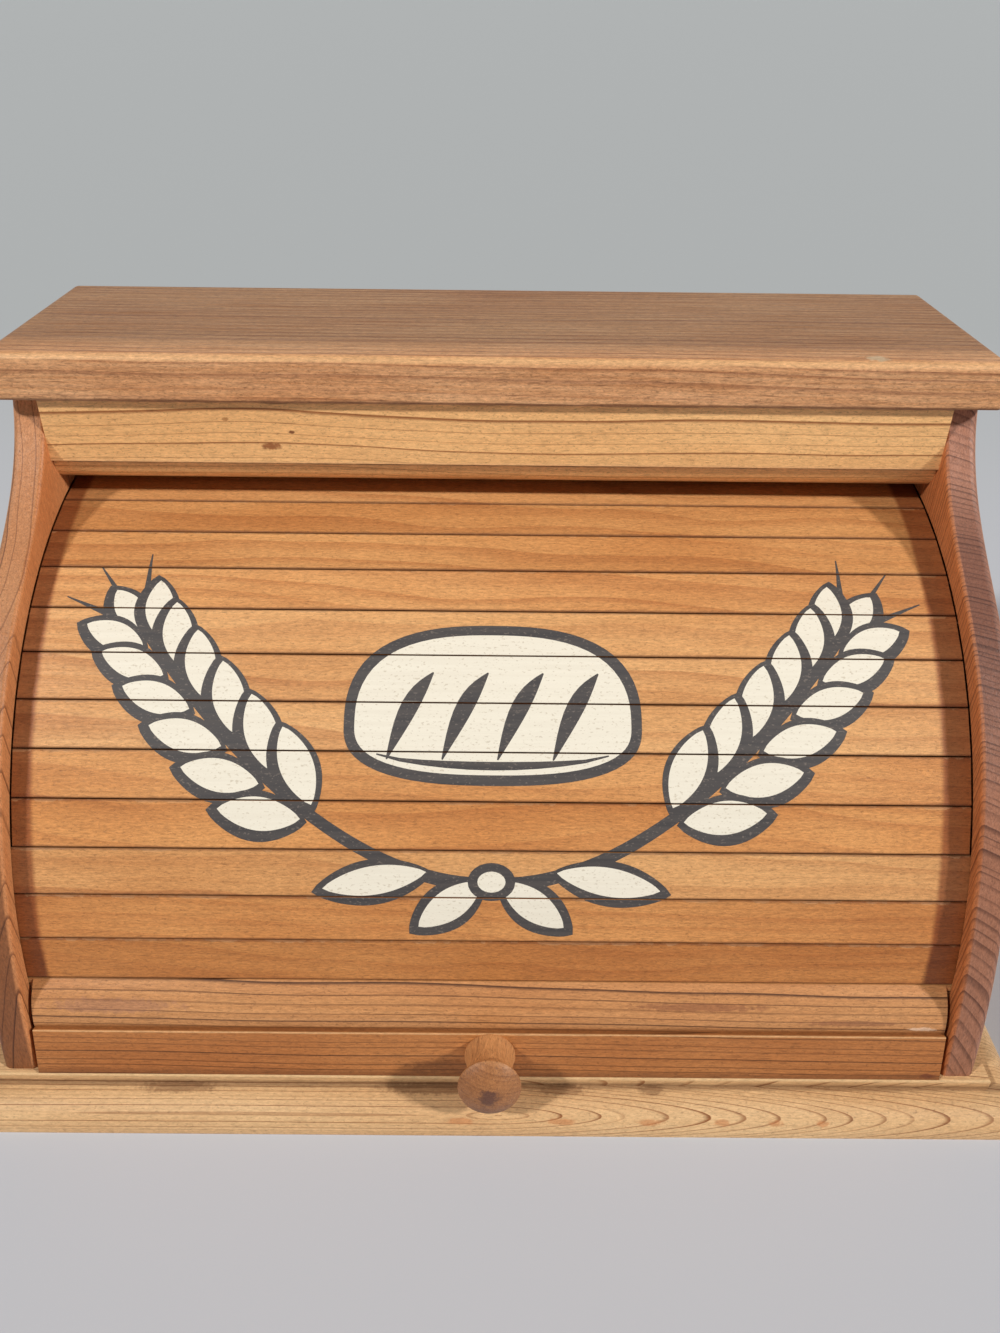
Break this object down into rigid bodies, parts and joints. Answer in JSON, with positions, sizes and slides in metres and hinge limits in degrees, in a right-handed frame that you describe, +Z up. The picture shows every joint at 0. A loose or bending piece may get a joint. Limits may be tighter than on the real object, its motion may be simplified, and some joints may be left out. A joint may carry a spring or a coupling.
{
  "type": "roll-top bread box",
  "caption": "Wooden roll-top bread box with a curtain of slats, a knobbed lift rail, curved sides and a moulded base board.",
  "frame": {"origin": "middle of the base board's footprint, on the surface that the box stands on", "axes": "+X across the width to the right as seen from the front, -Y towards the user, +Z up"},
  "size_m": [0.451, 0.284, 0.271],
  "materials": {
    "pine": "satin varnish over pine, worn at the edges",
    "slat_wood": "satin varnish over pine",
    "knob_wood": "turned wood, satin varnish",
    "panel_wood": "unfinished thin plywood",
    "dowel_wood": "bare beech",
    "canvas": "plain weave cotton canvas",
    "steel": "plain zinc-plated steel"
  },
  "bodies": {
    "box": {"base_board": "pine", "left_side": "pine", "right_side": "pine", "top_board": "pine", "valance": "pine", "back_panel": "panel_wood", "base_screws": "steel", "dowels": "dowel_wood", "back_nails": "steel"},
    "curtain_lead": {"lift_rail": "pine", "knob": "knob_wood", "knob_screw": "steel", "slat_01": "slat_wood", "slat_02": "slat_wood", "slat_03": "slat_wood", "canvas_lead": "canvas"},
    "curtain_link_4": {"slat_04": "slat_wood", "canvas_04": "canvas"},
    "curtain_link_5": {"slat_05": "slat_wood", "canvas_05": "canvas"},
    "curtain_link_6": {"slat_06": "slat_wood", "canvas_06": "canvas"},
    "curtain_tail": {"slat_07": "slat_wood", "slat_08": "slat_wood", "slat_09": "slat_wood", "slat_10": "slat_wood", "slat_11": "slat_wood", "slat_12": "slat_wood", "canvas_tail": "canvas"}
  },
  "joints": [
    {"name": "curtain_roll", "type": "hinge", "parent": "box", "child": "curtain_lead", "pos_m": [0, 0.07625, 0.027], "axis": [-1, 0, 0], "range_deg": [0, 62]},
    {"name": "curtain_link_4_bend", "type": "hinge", "parent": "curtain_lead", "child": "curtain_link_4", "pos_m": [0, -0.08196, 0.10747], "axis": [-1, 0, 0], "range_deg": [0, 16.31]},
    {"name": "curtain_link_5_bend", "type": "hinge", "parent": "curtain_link_4", "child": "curtain_link_5", "pos_m": [0, -0.07248, 0.12388], "axis": [-1, 0, 0], "range_deg": [0, 16.31]},
    {"name": "curtain_link_6_bend", "type": "hinge", "parent": "curtain_link_5", "child": "curtain_link_6", "pos_m": [0, -0.0613, 0.13918], "axis": [-1, 0, 0], "range_deg": [0, 16.31]},
    {"name": "curtain_tail_bend", "type": "hinge", "parent": "curtain_link_6", "child": "curtain_tail", "pos_m": [0, -0.04856, 0.15321], "axis": [-1, 0, 0], "range_deg": [0, 16.31]}
  ],
  "couplings": [
    {"joint": "curtain_link_4_bend", "follows": "curtain_roll", "ratio": 0.255},
    {"joint": "curtain_link_5_bend", "follows": "curtain_roll", "ratio": 0.255},
    {"joint": "curtain_link_6_bend", "follows": "curtain_roll", "ratio": 0.255},
    {"joint": "curtain_tail_bend", "follows": "curtain_roll", "ratio": 0.255}
  ]
}
